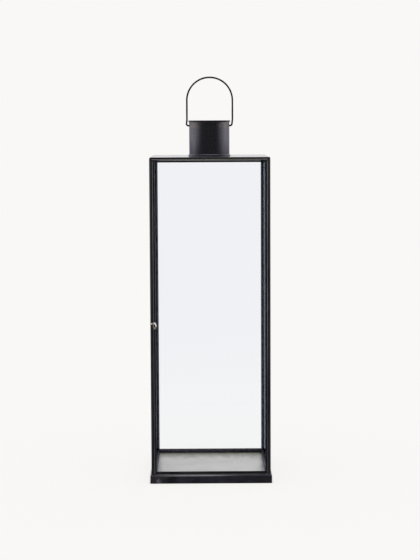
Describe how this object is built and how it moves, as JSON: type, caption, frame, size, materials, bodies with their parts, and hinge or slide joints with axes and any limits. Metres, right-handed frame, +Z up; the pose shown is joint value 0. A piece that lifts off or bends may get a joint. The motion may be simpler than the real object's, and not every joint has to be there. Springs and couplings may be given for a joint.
{
  "type": "hurricane candle lantern",
  "caption": "Tall square glazed candle lantern of blackened sheet steel, with a hinged glass door on a hook latch, a flat roof, an open chimney and a swinging wire bail.",
  "frame": {"origin": "middle of the base's underside, where the lantern stands", "axes": "+Z up, -Y out through the door, +X to the door's hinge side"},
  "size_m": [0.18, 0.18, 0.5998],
  "materials": {
    "blackened_steel": "satin black with a brown and violet patina, rubbed on its edges",
    "galvanised_steel": "dull galvanised, streaky, with water marks",
    "clear_glass": "clear float glass",
    "bright_steel": "bare bright steel"
  },
  "bodies": {
    "frame": {"base_tray": "blackened_steel", "floor_plate": "galvanised_steel", "left_front_stile": "blackened_steel", "left_rear_stile": "blackened_steel", "left_top_rail": "blackened_steel", "left_bottom_rail": "blackened_steel", "left_front_bead": "blackened_steel", "left_rear_bead": "blackened_steel", "left_top_bead": "blackened_steel", "left_bottom_bead": "blackened_steel", "left_glass": "clear_glass", "right_front_stile": "blackened_steel", "right_rear_stile": "blackened_steel", "right_top_rail": "blackened_steel", "right_bottom_rail": "blackened_steel", "right_front_bead": "blackened_steel", "right_rear_bead": "blackened_steel", "right_top_bead": "blackened_steel", "right_bottom_bead": "blackened_steel", "right_glass": "clear_glass", "rear_left_stile": "blackened_steel", "rear_right_stile": "blackened_steel", "rear_top_rail": "blackened_steel", "rear_bottom_rail": "blackened_steel", "rear_glass": "clear_glass", "front_header": "blackened_steel", "keeper_stud": "bright_steel", "roof_tray": "blackened_steel", "chimney_tube": "blackened_steel", "chimney_collar": "blackened_steel"},
    "door": {"door_hinge_stile": "blackened_steel", "door_latch_stile": "blackened_steel", "door_top_rail": "blackened_steel", "door_bottom_rail": "blackened_steel", "door_glass": "clear_glass", "upper_pivot_pin": "bright_steel", "lower_pivot_pin": "bright_steel", "latch_rivet": "bright_steel"},
    "latch": {"latch_hook": "bright_steel"},
    "bail": {"bail_handle": "blackened_steel"}
  },
  "joints": [
    {"name": "door_swing", "type": "hinge", "parent": "frame", "child": "door", "pos_m": [0.0819, -0.0864, 0], "axis": [0, 0, 1], "range_deg": [0, 100]},
    {"name": "latch_turn", "type": "hinge", "parent": "door", "child": "latch", "pos_m": [-0.0819, -0.0886, 0.238], "axis": [0, 1, 0], "range_deg": [0, 30]},
    {"name": "bail_swing", "type": "hinge", "parent": "frame", "child": "bail", "pos_m": [0, 0, 0.5265], "axis": [1, 0, 0], "range_deg": [-125, 125]}
  ]
}
